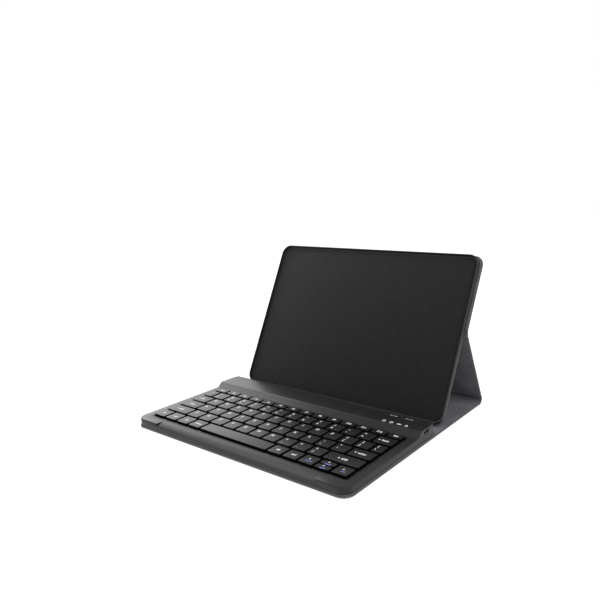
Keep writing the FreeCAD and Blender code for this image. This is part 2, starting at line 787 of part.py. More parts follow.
def make_electrics():
    """Battery, circuit board, charge port, power switch, indicator lights and holding magnets."""
    battery = new_body("battery_body")
    add_box(battery, "cell", ("battery_left", "battery_left + battery_length"),
            ("battery_front", "battery_front + battery_depth"), ("kb_floor", "kb_floor + battery_thick"))
    keep(battery, "battery", keyboard_pose)
    pieces = [loose_box("board", ("circuit_left", "circuit_left + circuit_length"),
                        ("circuit_front", "circuit_front + circuit_depth"),
                        (f"{CIRCUIT_TOP} - circuit_thick", CIRCUIT_TOP))]
    for number in (1, 2, 3):
        pieces.append(loose_cylinder(
            f"circuit_post_{number}", "circuit_post", f"circuit_left + {number} * circuit_length / 4",
            "circuit_front + circuit_depth / 2", "kb_floor", f"{CIRCUIT_TOP} - circuit_thick / 2"))
    keep(fused("circuit", pieces), "circuit_board", keyboard_pose)
    port = new_body("port_body")
    mouth = "kb_width / 2 - port_set_back"
    add_box(port, "port_shell", (f"{mouth} - port_length", mouth),
            across("port_width", "side_control_depth"), across("port_height", PORT_LEVEL))
    cut_box(port, "port_inside", (f"{mouth} - port_length + port_wall", f"{mouth} + 1"),
            across("port_width - 2 * port_wall", "side_control_depth"),
            across("port_height - 2 * port_wall", PORT_LEVEL))
    add_box(port, "port_tongue", (f"{mouth} - port_length", f"{mouth} - 2 * port_wall"),
            across("tongue_width", "side_control_depth"), across("tongue_thick", PORT_LEVEL))
    keep(port, "charge_port", keyboard_pose)
    switch = new_body("switch_body")
    switch_middle = "side_control_depth - switch_travel / 2"
    inner_wall = "kb_wall + kb_seam - kb_width / 2"
    add_box(switch, "switch_knob_block", ("-kb_width / 2 - switch_proud", f"{inner_wall} + kb_wall / 2"),
            across("switch_knob", switch_middle), across("switch_height", "switch_level"))
    add_box(switch, "switch_plate", (inner_wall, f"{inner_wall} + kb_wall / 2"),
            across("switch_knob + 2 * switch_flange", switch_middle),
            across("switch_height + switch_flange", "switch_level"))
    keep(switch, "power_switch", keyboard_pose)
    lights = [loose_box(f"light_{number}", *spans) for number, spans in enumerate(light_spans(), start=1)]
    keep(group("lights", lights), "indicator_lights", keyboard_pose)
    magnets = []
    for side in ("-fastener_line", "fastener_line"):
        for number in range(2):
            magnets.append(loose_cylinder(
                f"magnet_{len(magnets) + 1}", "magnet_radius", side,
                f"screw_first + ({number} + 0.5) * screw_pitch", "kb_floor", "kb_floor + magnet_thick"))
    keep(group("magnets", magnets), "keyboard_magnets", keyboard_pose)


# Building, checking and writing

make_base_cover()
make_stand_panel()
make_back_panel()
make_folds()
make_tray()
make_bottom_case()
make_key_layers()
make_electrics()
make_keys()
make_top_case()
doc.recompute()

for item in doc.Objects:
    assert "Invalid" not in item.State and "Error" not in item.State, f"{item.Label} failed: {item.State}"
for piece in sub_parts:
    assert not piece.Shape.isNull() and piece.Shape.isValid(), f"{piece.Label} has no sound shape"

os.makedirs("parts", exist_ok=True)
for piece in sub_parts:
    piece.Shape.exportStep(f"parts/{piece.Label}.step")

print(f"stand panel slope {stand_slope:.3f}, back panel slope {back_slope:.3f} degrees")
print(f"rear fold axis at {stand_pose.Base}, back fold axis at {back_pose.Base}")
print(f"{len(sub_parts)} sub-parts, {sum(len(p.Shape.Solids) for p in sub_parts)} solids")
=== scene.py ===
import bmesh
import bpy
import json
import math
from mathutils import Matrix, Vector


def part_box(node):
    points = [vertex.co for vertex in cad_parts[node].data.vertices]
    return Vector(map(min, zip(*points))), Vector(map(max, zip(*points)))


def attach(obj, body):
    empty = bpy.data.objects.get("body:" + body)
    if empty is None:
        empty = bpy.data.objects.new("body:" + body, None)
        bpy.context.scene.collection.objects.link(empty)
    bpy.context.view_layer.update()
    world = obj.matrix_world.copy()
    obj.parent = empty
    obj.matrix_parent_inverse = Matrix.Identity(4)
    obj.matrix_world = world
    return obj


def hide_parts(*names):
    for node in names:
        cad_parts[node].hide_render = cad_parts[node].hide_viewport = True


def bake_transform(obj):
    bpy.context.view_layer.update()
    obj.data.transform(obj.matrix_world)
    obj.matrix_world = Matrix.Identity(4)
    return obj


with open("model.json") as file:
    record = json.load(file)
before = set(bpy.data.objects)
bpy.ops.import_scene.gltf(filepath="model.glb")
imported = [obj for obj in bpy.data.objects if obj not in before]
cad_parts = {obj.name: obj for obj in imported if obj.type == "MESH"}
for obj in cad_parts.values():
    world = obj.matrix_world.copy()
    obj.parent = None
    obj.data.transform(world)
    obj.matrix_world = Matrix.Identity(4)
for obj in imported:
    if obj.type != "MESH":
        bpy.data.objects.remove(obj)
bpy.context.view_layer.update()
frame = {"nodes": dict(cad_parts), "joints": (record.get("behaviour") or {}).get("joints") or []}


# Front cover and spine, outside
# Synthetic leather glued over grey board, turned in round the edge and pressed with a line along it.
# Its upright edge faces are a lighter grey, a painted highlight for the light that the rounded edge
# catches. One skin covers cover, spine and the strip behind the spine.

MM = 0.001
CASE_WIDTH = 252 * MM
SKIN_THICK = 0.7 * MM
BOARD_THICK = 1.2 * MM
LINING_THICK = 0.5 * MM
EDGE_HEIGHT = SKIN_THICK + BOARD_THICK
PANEL_THICK = EDGE_HEIGHT + LINING_THICK
HEM_WIDTH = 1.6 * MM
PANEL_CORNER = 9.5 * MM
EDGE_ROUNDING = 0.6 * MM
PRESSED_BORDER = 2.2 * MM
PRESSED_LINE = 0.9 * MM
PRESSED_DEPTH = 0.25 * MM
PAD_STEPS = ((1.4 * MM, 0.65), (1.3 * MM, 0.35))
COVER_DEPTH = 180.3 * MM
FRONT_FOLD_HALF = 2.6 * MM
SPINE_PITCH = 26.5 * MM
STRIP_PITCH = 16.6 * MM
REAR_FOLD_HALF = 7.5 * MM
SPINE_FRONT = COVER_DEPTH + FRONT_FOLD_HALF
SPINE_REAR = SPINE_FRONT + SPINE_PITCH
FLAT_END = SPINE_REAR + STRIP_PITCH - REAR_FOLD_HALF
COVER_POSE = Matrix.Translation((0, -COVER_DEPTH / 2, 0))
LEATHER_DARK = (0.014, 0.014, 0.016)
LEATHER_LIGHT = (0.022, 0.022, 0.024)
EDGE_DARK = (0.140, 0.139, 0.144)
EDGE_LIGHT = (0.170, 0.169, 0.174)
EDGE_UPRIGHTNESS = 0.6
LEATHER_SMOOTHING = 40
CORNER_SEGMENTS = 8
SAME_WAY = 0.99
TOUCHING = 1e-6


def start_material(name, colour, roughness, specular=0.5):
    """A node material and its main shader, ready for colour variation and grain."""
    material = bpy.data.materials.new(name)
    material.use_nodes = True
    shader = material.node_tree.nodes["Principled BSDF"]
    shader.inputs["Base Color"].default_value = (*colour, 1)
    shader.inputs["Roughness"].default_value = roughness
    shader.inputs["Specular IOR Level"].default_value = specular
    return material, shader


def add_node(material, kind, inputs=(), **settings):
    """A shader node with its settings and inputs. An input is a number, or a socket to link to."""
    node = material.node_tree.nodes.new(kind)
    for name, value in settings.items():
        setattr(node, name, value)
    for name, value in dict(inputs).items():
        if isinstance(value, bpy.types.NodeSocket):
            material.node_tree.links.new(value, node.inputs[name])
        else:
            node.inputs[name].default_value = value
    return node


def object_points(material):
    return add_node(material, "ShaderNodeTexCoord").outputs["Object"]


def noise(material, points, scale, detail=3.0):
    """A cloudy pattern of some fineness, in cells per metre."""
    node = add_node(material, "ShaderNodeTexNoise", {"Vector": points, "Scale": scale, "Detail": detail})
    return node.outputs["Fac"]


def vary_colour(material, shader, points, scale, dark, light):
    """Cloudy variation between two near colours over the surface."""
    clouds = noise(material, points, scale, detail=4.0)
    ramp = add_node(material, "ShaderNodeValToRGB", {"Fac": clouds})
    ramp.color_ramp.elements[0].position = 0.35
    ramp.color_ramp.elements[0].color = (*dark, 1)
    ramp.color_ramp.elements[1].position = 0.65
    ramp.color_ramp.elements[1].color = (*light, 1)
    material.node_tree.links.new(ramp.outputs["Color"], shader.inputs["Base Color"])


def vary_roughness(material, shader, pattern, low, high):
    spread = add_node(material, "ShaderNodeMapRange", {"Value": pattern, "To Min": low, "To Max": high})
    material.node_tree.links.new(spread.outputs["Result"], shader.inputs["Roughness"])


def raise_grain(material, shader, height, depth, strength):
    """Turns a height pattern into relief of some depth, in metres."""
    bump = add_node(material, "ShaderNodeBump",
                    {"Height": height, "Distance": depth, "Strength": strength})
    material.node_tree.links.new(bump.outputs["Normal"], shader.inputs["Normal"])


def leather_finish():
    """Dark pebbled leather: small cells with pores between them, and a slow unevenness in the hide."""
    material, shader = start_material("grained_leather", LEATHER_LIGHT, 0.5, specular=0.4)
    points = object_points(material)
    vary_colour(material, shader, points, 24.0, LEATHER_DARK, LEATHER_LIGHT)
    cells = add_node(material, "ShaderNodeTexVoronoi",
                     {"Vector": points, "Scale": 900.0, "Randomness": 1.0},
                     feature="SMOOTH_F1").outputs["Distance"]
    pores = noise(material, points, 3200.0)
    hide = noise(material, points, 110.0)
    grain = add_node(material, "ShaderNodeMath", {0: pores, 1: 0.35, 2: cells}, operation="MULTIPLY_ADD")
    height = add_node(material, "ShaderNodeMath", {0: hide, 1: 1.4, 2: grain.outputs["Value"]},
                      operation="MULTIPLY_ADD")
    vary_roughness(material, shader, cells, low=0.56, high=0.42)
    raise_grain(material, shader, height.outputs["Value"], depth=0.22 * MM, strength=0.6)
    return material


def painted_edge_highlight_finish():
    """Painted highlight: the lighter grey given to edge faces for the light that they catch, a little
    uneven.
    """
    material, shader = start_material("painted_edge_highlight", EDGE_LIGHT, 0.6, specular=0.3)
    points = object_points(material)
    vary_colour(material, shader, points, 300.0, EDGE_DARK, EDGE_LIGHT)
    raise_grain(material, shader, noise(material, points, 1500.0), depth=0.1 * MM, strength=0.4)
    return material


def new_piece(name, shape, material, pose=Matrix.Identity(4)):
    """A finished mesh object at the origin, with its place in its mesh."""
    shape.transform(pose)
    mesh = bpy.data.meshes.new(name)
    shape.to_mesh(mesh)
    shape.free()
    mesh.materials.append(material)
    piece = bpy.data.objects.new(name, mesh)
    bpy.context.scene.collection.objects.link(piece)
    return piece


def smooth_by_angle(piece, degrees):
    """Smooth shading, with creases kept where faces meet at more than an angle."""
    shape = bmesh.new()
    shape.from_mesh(piece.data)
    for face in shape.faces:
        face.smooth = True
    for edge in shape.edges:
        edge.smooth = len(edge.link_faces) != 2 or edge.calc_face_angle() < math.radians(degrees)
    shape.to_mesh(piece.data)
    shape.free()


def round_edges(shape, edges, radius, segments):
    bmesh.ops.bevel(shape, geom=list(edges), offset=radius, offset_type="OFFSET", segments=segments,
                    profile=0.5, affect="EDGES", clamp_overlap=True, material=-1)


def slab(x_span, y_span, z_span):
    """A block by its spans, to be shaped further."""
    shape = bmesh.new()
    bmesh.ops.create_cube(shape, size=1)
    spans = (x_span, y_span, z_span)
    bmesh.ops.scale(shape, vec=[high - low for low, high in spans], verts=shape.verts)
    bmesh.ops.translate(shape, vec=[(high + low) / 2 for low, high in spans], verts=shape.verts)
    return shape


def faces_towards(shape, direction):
    return [face for face in shape.faces if face.normal.dot(Vector(direction)) > SAME_WAY]


def upright_edges(shape, depth):
    """The edges that stand at one end of a slab, at its corners."""
    return [edge for edge in shape.edges
            if all(abs(vert.co.y - depth) < TOUCHING for vert in edge.verts)
            and abs(edge.verts[0].co.z - edge.verts[1].co.z) > TOUCHING]


def rim_edges(shape, level, joined_ends):
    """The edges round one level of a slab, without those at ends where it runs on into a fold."""
    def lies_at(edge, axis, place):
        return all(abs(vert.co[axis] - place) < TOUCHING for vert in edge.verts)
    rim = [edge for edge in shape.edges if lies_at(edge, 2, level)]
    return [edge for edge in rim if not any(lies_at(edge, 1, end) for end in joined_ends)]


def leather_panel(name, y_span, outer, pose, free_end=None, pad=0.0):
    """Leather on one panel: turned hem, pressed line along the edge, and a middle padded a little."""
    half = CASE_WIDTH / 2
    joined_ends = [end for end in y_span if end != free_end]
    shape = slab((-half, half), y_span, (outer, outer + EDGE_HEIGHT))
    if free_end is not None:
        round_edges(shape, upright_edges(shape, free_end), PANEL_CORNER, CORNER_SEGMENTS)
    for level in (outer, outer + EDGE_HEIGHT):
        round_edges(shape, rim_edges(shape, level, joined_ends), EDGE_ROUNDING, segments=3)
    shape.normal_update()
    outside = faces_towards(shape, (0, 0, -1))
    steps = [(PRESSED_BORDER, 0), (PRESSED_LINE / 2, -PRESSED_DEPTH), (PRESSED_LINE / 2, PRESSED_DEPTH)]
    steps += [(width, pad * share) for width, share in PAD_STEPS]
    for width, rise in steps:
        bmesh.ops.inset_region(shape, faces=outside, thickness=width, depth=rise, use_even_offset=True)
    inside = faces_towards(shape, (0, 0, 1))
    flat_hem = HEM_WIDTH - EDGE_ROUNDING
    bmesh.ops.inset_region(shape, faces=inside, thickness=flat_hem, use_even_offset=True)
    bmesh.ops.inset_region(shape, faces=inside, thickness=0, depth=-BOARD_THICK)
    shape.normal_update()
    # Upright faces round the edge take the lighter grey of the painted highlight.
    for face in shape.faces:
        face.material_index = 1 if abs(face.normal.z) < EDGE_UPRIGHTNESS else 0
    piece = new_piece(name, shape, leather, pose)
    piece.data.materials.append(painted_edge_highlight)
    smooth_by_angle(piece, LEATHER_SMOOTHING)
    return piece


leather = leather_finish()
painted_edge_highlight = painted_edge_highlight_finish()
cover_leather = leather_panel("cover_leather", (0, FLAT_END), 0, COVER_POSE, free_end=0)
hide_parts("base_skin")
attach(cover_leather, "base")


# Boards and steel inside the folio
# Stiff grey boards, glued between leather and lining. Two steel strips are let into the front board
# under the keyboard, so that its magnets have something to hold.

BOARD_DARK = (0.13, 0.12, 0.11)
BOARD_LIGHT = (0.20, 0.19, 0.17)
STEEL_COLOUR = (0.42, 0.42, 0.43)


def paint(node, material):
    """Gives a CAD piece its finish."""
    frame["nodes"][node].data.materials.clear()
    frame["nodes"][node].data.materials.append(material)


def board_finish():
    """Grey board: pressed waste paper with short pale and dark fibres."""
    material, shader = start_material("grey_board", BOARD_LIGHT, 0.9, specular=0.2)
    points = object_points(material)
    vary_colour(material, shader, points, 900.0, BOARD_DARK, BOARD_LIGHT)
    raise_grain(material, shader, noise(material, points, 2500.0), depth=0.1 * MM, strength=0.4)
    return material


def steel_finish():
    """Rolled steel sheet with fine lines along its length."""
    material, shader = start_material("rolled_steel", STEEL_COLOUR, 0.38)
    shader.inputs["Metallic"].default_value = 1.0
    drawn_out = add_node(material, "ShaderNodeMapping",
                         {"Vector": object_points(material), "Scale": (3000.0, 60.0, 3000.0)})
    lines = noise(material, drawn_out.outputs["Vector"], 1.0)
    vary_roughness(material, shader, lines, low=0.3, high=0.46)
    raise_grain(material, shader, lines, depth=0.04 * MM, strength=0.3)
    return material


grey_board = board_finish()
rolled_steel = steel_finish()
for board in ("front_board", "spine_board", "strip_board", "stand_board", "back_board"):
    paint(board, grey_board)
paint("cover_steel_strips", rolled_steel)


# Lining of the front cover and spine
# Short suede cloth in a grey lighter than the leather, glued over the boards and the turned hem. A
# shallow crease shows at each edge of the spine.

LINING_INSET = 0.5 * MM
LINING_ROUNDING = 0.22 * MM
LINING_SMOOTHING = 35
CREASE_HALF = 2.4 * MM
CREASE_DEPTH = 0.25 * MM
CREASE_CUTS = (-1, -0.5, 0, 0.5, 1)
CREASE_START = 0.1
CREASE_STEEPNESS = 1.4
CUT_REACH = 1e-7
SUEDE_DARK = (0.112, 0.108, 0.120)
SUEDE_LIGHT = (0.144, 0.139, 0.152)


def suede_finish():
    """Brushed cloth: a soft nap that catches light in clouds, with a fine fibre relief."""
    material, shader = start_material("suede_lining", SUEDE_LIGHT, 0.9, specular=0.15)
    shader.inputs["Sheen Weight"].default_value = 0.25
    shader.inputs["Sheen Roughness"].default_value = 0.5
    shader.inputs["Sheen Tint"].default_value = (0.75, 0.74, 0.78, 1)
    points = object_points(material)
    vary_colour(material, shader, points, 70.0, SUEDE_DARK, SUEDE_LIGHT)
    fibres = noise(material, points, 2600.0, detail=5.0)
    raise_grain(material, shader, fibres, depth=0.25 * MM, strength=0.5)
    return material


def lining_sheet(name, y_span, top, pose, free_end=None, creases=()):
    """A sheet of lining over the hem, with softened edges and creases pressed across it."""
    half = CASE_WIDTH / 2 - LINING_INSET
    joined_ends = [end for end in y_span if end != free_end]
    shape = slab((-half, half), y_span, (top - LINING_THICK, top))
    if free_end is not None:
        corner = PANEL_CORNER - LINING_INSET
        round_edges(shape, upright_edges(shape, free_end), corner, CORNER_SEGMENTS)
    round_edges(shape, rim_edges(shape, top, joined_ends), LINING_ROUNDING, segments=2)
    for middle in creases:
        for share in CREASE_CUTS:
            whole = shape.verts[:] + shape.edges[:] + shape.faces[:]
            bmesh.ops.bisect_plane(shape, geom=whole, dist=CUT_REACH, plane_no=(0, 1, 0),
                                   plane_co=(0, middle + share * CREASE_HALF, 0))
        for vert in shape.verts:
            nearness = 1 - abs(vert.co.y - middle) / CREASE_HALF
            if nearness > CREASE_START and vert.co.z > top - LINING_THICK / 2:
                vert.co.z -= CREASE_DEPTH * min(1, nearness * CREASE_STEEPNESS)
    piece = new_piece(name, shape, suede, pose)
    smooth_by_angle(piece, LINING_SMOOTHING)
    return piece


suede = suede_finish()
cover_lining = lining_sheet("cover_lining", (LINING_INSET, FLAT_END), PANEL_THICK, COVER_POSE,
                            free_end=LINING_INSET, creases=(SPINE_FRONT, SPINE_REAR))
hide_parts("base_lining")
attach(cover_lining, "base")


# Stand panel
# The same leather, board and lining as the cover. It stands on the rear fold and props the back
# panel up, with its leather side to the rear.

STAND_SLOPE = math.radians(115.323)
STAND_LENGTH = 88.4 * MM
REAR_AXIS_HEIGHT = 0.8 * MM
BACK_FOLD_HALF = 3.2 * MM
PAD_HEIGHT = 0.5 * MM
FOLD_POINTS = {joint["name"]: Vector(joint["pos_m"])
               for joint in frame["joints"] if joint["type"] == "hinge"}
STAND_POSE = Matrix.Translation(FOLD_POINTS["stand_fold"]) @ Matrix.Rotation(STAND_SLOPE, 4, "X")

stand_span = (REAR_FOLD_HALF, STAND_LENGTH - BACK_FOLD_HALF)
stand_leather = leather_panel("stand_leather", stand_span, -REAR_AXIS_HEIGHT, STAND_POSE, pad=PAD_HEIGHT)
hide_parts("stand_skin")
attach(stand_leather, "stand")
stand_suede = lining_sheet("stand_suede", stand_span, PANEL_THICK - REAR_AXIS_HEIGHT, STAND_POSE)
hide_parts("stand_lining")
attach(stand_suede, "stand")


# Back panel
# The upper panel of the back, with rounded corners at its free edge. The tray is taped to its
# lining, and its leather is padded like the stand panel's.

BACK_SLOPE = math.radians(62.589)
BACK_LENGTH = 75.2 * MM
BACK_AXIS_HEIGHT = 1.2 * MM
BACK_POSE = Matrix.Translation(FOLD_POINTS["back_fold"]) @ Matrix.Rotation(BACK_SLOPE, 4, "X")

back_leather = leather_panel("back_leather", (BACK_FOLD_HALF, BACK_LENGTH), -BACK_AXIS_HEIGHT, BACK_POSE,
                             free_end=BACK_LENGTH, pad=PAD_HEIGHT)
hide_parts("back_skin")
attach(back_leather, "back")
back_suede_end = BACK_LENGTH - LINING_INSET
back_suede = lining_sheet("back_suede", (BACK_FOLD_HALF, back_suede_end), PANEL_THICK - BACK_AXIS_HEIGHT,
                          BACK_POSE, free_end=back_suede_end)
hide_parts("back_lining")
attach(back_suede, "back")


# Folds
# Between the panels the leather and the lining run on alone, with no board, so they bend. The lining
# dips into each fold from the panels beside it. The back fold is creased the other way.

FOLD_THICK = SKIN_THICK + LINING_THICK
FOLD_STEPS = 25
DIP_SHARE = 0.3
SIDEWAYS = 0.9
LINED_WAY = 0.5


def bent_strip(name, radius, turn, start, centre, pose, lining_inside):
    """A strip across the case, swept round a centre from a start angle. Lining covers one side of it."""
    shape = bmesh.new()
    half = CASE_WIDTH / 2
    places = ((-half, radius), (half, radius), (half, radius + FOLD_THICK), (-half, radius + FOLD_THICK))
    section = shape.faces.new([shape.verts.new((x, 0, -reach)) for x, reach in places])
    bmesh.ops.rotate(shape, verts=shape.verts, cent=(0, 0, 0), matrix=Matrix.Rotation(start, 3, "X"))
    bmesh.ops.spin(shape, geom=[section] + section.edges[:] + section.verts[:], cent=(0, 0, 0),
                   axis=(1, 0, 0), angle=turn, steps=FOLD_STEPS, use_duplicate=False)
    bmesh.ops.holes_fill(shape, edges=shape.edges)
    bmesh.ops.recalc_face_normals(shape, faces=shape.faces)
    lined_radius = radius if lining_inside else radius + FOLD_THICK
    outward = -1 if lining_inside else 1
    for face in shape.faces:
        middle = face.calc_center_median()
        away = face.normal.dot(Vector((0, middle.y, middle.z)).normalized())
        # The side faces take the lighter grey of the painted edge highlight.
        if abs(face.normal.x) > SIDEWAYS:
            face.material_index = 2
        else:
            face.material_index = 1 if away * outward > LINED_WAY else 0
    for vert in shape.verts:
        arm = Vector((0, vert.co.y, vert.co.z))
        if abs(arm.length - lined_radius) < TOUCHING:
            swept = (math.atan2(arm.y, -arm.z) - start + math.pi) % (2 * math.pi) - math.pi
            nearest_end = min(swept, turn - swept) / turn
            dip = max(0, 1 - nearest_end / DIP_SHARE) ** 2
            vert.co += arm.normalized() * outward * dip * (PANEL_THICK - FOLD_THICK)
    bmesh.ops.translate(shape, verts=shape.verts, vec=centre)
    piece = new_piece(name, shape, leather, pose)
    piece.data.materials.append(suede)
    piece.data.materials.append(painted_edge_highlight)
    smooth_by_angle(piece, LEATHER_SMOOTHING)
    return piece


rear_reach = REAR_FOLD_HALF / math.tan(STAND_SLOPE / 2) + REAR_AXIS_HEIGHT
rear_fold = bent_strip("rear_fold_leather", rear_reach - FOLD_THICK, STAND_SLOPE, 0,
                       (0, FLAT_END, rear_reach), COVER_POSE, lining_inside=True)
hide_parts("rear_fold_strip")
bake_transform(rear_fold)

back_turn = STAND_SLOPE - BACK_SLOPE
back_radius = BACK_FOLD_HALF / math.tan(back_turn / 2) - BACK_AXIS_HEIGHT
back_fold_start = STAND_LENGTH - BACK_FOLD_HALF
back_fold = bent_strip("back_fold_leather", back_radius, back_turn, math.pi - back_turn,
                       (0, back_fold_start, -REAR_AXIS_HEIGHT - back_radius), STAND_POSE,
                       lining_inside=False)
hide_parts("back_fold_strip")
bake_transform(back_fold)


# Tray
# A shallow moulding of dark satin plastic with low sides, held to the back panel by foam tape. Its
# lower edge stands on the lining behind the keyboard. Soft cloth is glued to its floor.

TRAY_DARK = (0.010, 0.010, 0.011)
TRAY_LIGHT = (0.015, 0.015, 0.016)
TRAY_EASING = 0.35 * MM
SHARP_ANGLE = math.radians(28)
FLAT_ANGLE = math.radians(0.5)
MOULD_SMOOTHING = 35
POCKET_SIZE = (245.6 * MM, 160.6 * MM)
POCKET_CORNER = 9.3 * MM
TRAY_WALL = 1.2 * MM
TRAY_FLOOR = 1.6 * MM
TRAY_BELOW_FOLD = 88.4 * MM
TAPE_THICK = 0.3 * MM
LINER_MARGIN = 2 * MM
LINER_THICK = 0.4 * MM
LINER_SIZE = tuple(side - 2 * LINER_MARGIN for side in POCKET_SIZE)
LINER_MIDDLE = POCKET_SIZE[1] / 2 + TRAY_WALL - TRAY_BELOW_FOLD
LINER_LOW = PANEL_THICK - BACK_AXIS_HEIGHT + TAPE_THICK + TRAY_FLOOR
LINER_LEVELS = (LINER_LOW, LINER_LOW + LINER_THICK)
LINER_CORNER = POCKET_CORNER - LINER_MARGIN
CLOTH_DARK = (0.012, 0.012, 0.013)
CLOTH_LIGHT = (0.016, 0.016, 0.017)
TAPE_COLOUR = (0.05, 0.05, 0.05)


def moulded_finish(name, dark, light, roughness, grain):
    """Moulded plastic with a fine eroded texture and slight clouds in its colour."""
    material, shader = start_material(name, light, roughness, specular=0.28)
    points = object_points(material)
    vary_colour(material, shader, points, 60.0, dark, light)
    texture = noise(material, points, 4200.0)
    vary_roughness(material, shader, texture, low=roughness - 0.05, high=roughness + 0.07)
    raise_grain(material, shader, texture, depth=grain, strength=0.4)
    return material


def is_sharp(edge):
    return len(edge.link_faces) == 2 and edge.calc_face_angle() > SHARP_ANGLE


def eased_copy(node, name, material, radius, soft_radius=0.0, is_soft=None):
    """A copy of a CAD piece with sharp edges eased, as a mould leaves them, and some rounded more."""
    shape = bmesh.new()
    shape.from_mesh(frame["nodes"][node].data)
    bmesh.ops.remove_doubles(shape, verts=shape.verts, dist=TOUCHING)
    bmesh.ops.dissolve_limit(shape, angle_limit=FLAT_ANGLE, verts=shape.verts, edges=shape.edges)
    if is_soft:
        soft_edges = [edge for edge in shape.edges if is_sharp(edge) and is_soft(edge)]
        round_edges(shape, soft_edges, soft_radius, segments=4)
    round_edges(shape, [edge for edge in shape.edges if is_sharp(edge)], radius, segments=2)
    piece = new_piece(name, shape, material)
    smooth_by_angle(piece, MOULD_SMOOTHING)
    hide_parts(node)
    return piece


def cloth_finish():
    """Close woven cloth: two crossing sets of threads with a soft nap."""
    material, shader = start_material("liner_cloth", CLOTH_LIGHT, 0.9, specular=0.15)
    shader.inputs["Sheen Weight"].default_value = 0.15
    points = object_points(material)
    vary_colour(material, shader, points, 400.0, CLOTH_DARK, CLOTH_LIGHT)
    waves = {"Vector": points, "Scale": 260.0, "Distortion": 0.6}
    threads = [add_node(material, "ShaderNodeTexWave", waves, bands_direction=direction).outputs["Fac"]
               for direction in "XZ"]
    weave = add_node(material, "ShaderNodeMath", {0: threads[0], 1: threads[1]}, operation="MAXIMUM")
    raise_grain(material, shader, weave.outputs["Value"], depth=0.1 * MM, strength=0.5)
    return material


def foam_finish():
    """Closed-cell foam with small bubbles."""
    material, shader = start_material("foam_tape", TAPE_COLOUR, 0.95, specular=0.1)
    bubbles = add_node(material, "ShaderNodeTexVoronoi",
                       {"Vector": object_points(material), "Scale": 2500.0})
    raise_grain(material, shader, bubbles.outputs["Distance"], depth=0.1 * MM, strength=0.5)
    return material


def liner_sheet():
    """The cloth on the tray's floor, with round corners and a softened rim."""
    half_width, half_height = (side / 2 for side in LINER_SIZE)
    ends = (LINER_MIDDLE - half_height, LINER_MIDDLE + half_height)
    shape = slab((-half_width, half_width), ends, LINER_LEVELS)
    for end in ends:
        round_edges(shape, upright_edges(shape, end), LINER_CORNER, CORNER_SEGMENTS)
    round_edges(shape, rim_edges(shape, LINER_LEVELS[1], ()), LINING_ROUNDING / 2, segments=2)
    piece = new_piece("tray_cloth", shape, cloth_finish(), BACK_POSE)
    smooth_by_angle(piece, LINING_SMOOTHING)
    return piece


tray_plastic = moulded_finish("tray_plastic", TRAY_DARK, TRAY_LIGHT, roughness=0.4, grain=0.03 * MM)
tray_shell = eased_copy("tray", "tray_shell", tray_plastic, TRAY_EASING)
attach(tray_shell, "back")
tray_cloth = liner_sheet()
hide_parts("tray_liner")
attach(tray_cloth, "back")
paint("tray_tape", foam_finish())


# Keyboard bottom
# A flat moulded bottom with six small screws sunk into it, on four thin rubber pads that stand on
# the cover's lining.

CASE_DARK = (0.011, 0.011, 0.0115)
CASE_LIGHT = (0.015, 0.015, 0.0155)
RUBBER_DARK = (0.010, 0.010, 0.010)
RUBBER_LIGHT = (0.018, 0.018, 0.018)


def rubber_finish():
    """Matt black rubber with a dusty, faintly mottled skin."""
    material, shader = start_material("black_rubber", RUBBER_LIGHT, 0.85, specular=0.25)
    points = object_points(material)
    vary_colour(material, shader, points, 180.0, RUBBER_DARK, RUBBER_LIGHT)
    raise_grain(material, shader, noise(material, points, 3000.0), depth=0.08 * MM, strength=0.4)
    return material


case_plastic = moulded_finish("case_plastic", CASE_DARK, CASE_LIGHT, roughness=0.36, grain=0.02 * MM)
black_rubber = rubber_finish()
paint("keyboard_bottom_case", case_plastic)
paint("case_screws", rolled_steel)
paint("rubber_feet", black_rubber)


# Layers and electrics inside the keyboard
# A steel plate, a printed film and a rubber mat with a dome under each key lie on the bottom. The
# battery, the circuit board and the magnets stand beside and behind them, out of sight.

FILM_COLOUR = (0.30, 0.31, 0.30)
FOIL_COLOUR = (0.60, 0.60, 0.62)
LACQUER_COLOUR = (0.010, 0.055, 0.022)
NICKEL_COLOUR = (0.58, 0.57, 0.55)


def inner_finish(name, colour, roughness, metallic, scale):
    """A plain inner surface with a little wear in its gloss."""
    material, shader = start_material(name, colour, roughness)
    shader.inputs["Metallic"].default_value = metallic
    wear = noise(material, object_points(material), scale, detail=4.0)
    vary_roughness(material, shader, wear, low=roughness - 0.1, high=roughness + 0.1)
    return material


printed_film = inner_finish("printed_film", FILM_COLOUR, roughness=0.3, metallic=0.0, scale=120.0)
cell_foil = inner_finish("cell_foil", FOIL_COLOUR, roughness=0.35, metallic=1.0, scale=90.0)
board_lacquer = inner_finish("board_lacquer", LACQUER_COLOUR, roughness=0.35, metallic=0.0, scale=200.0)
nickel_plate = inner_finish("nickel_plate", NICKEL_COLOUR, roughness=0.28, metallic=1.0, scale=300.0)
paint("key_plate", rolled_steel)
paint("membrane", printed_film)
paint("dome_mat", black_rubber)
paint("battery", cell_foil)
paint("circuit_board", board_lacquer)
paint("keyboard_magnets", nickel_plate)


# Keyboard top case
# One moulding: deck with a thumb scoop along the front, a raised bar behind the keys, and a sunken
# field round the keys. The field and the scoop's ends are painted flat black as painted shade, and
# edges are eased by the mould.

CASE_EASING = 0.28 * MM
BAR_ROUNDING = 1.8 * MM
BAR_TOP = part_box("keyboard_top_case")[1].z
LIGHTS_LOW, LIGHTS_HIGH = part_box("indicator_lights")
PAINTED_SHADE_COLOUR = (0.002, 0.002, 0.002)
WELL_HALF_WIDTH = 116.3 * MM
WELL_ENDS = (12.3 * MM - COVER_DEPTH / 2, 97.9 * MM - COVER_DEPTH / 2)
WELL_LEVELS = (6 * MM, 8.1 * MM)
SCOOP_HALF_WIDTH = 95 * MM
SCOOP_REAR = 8.1 * MM - COVER_DEPTH / 2


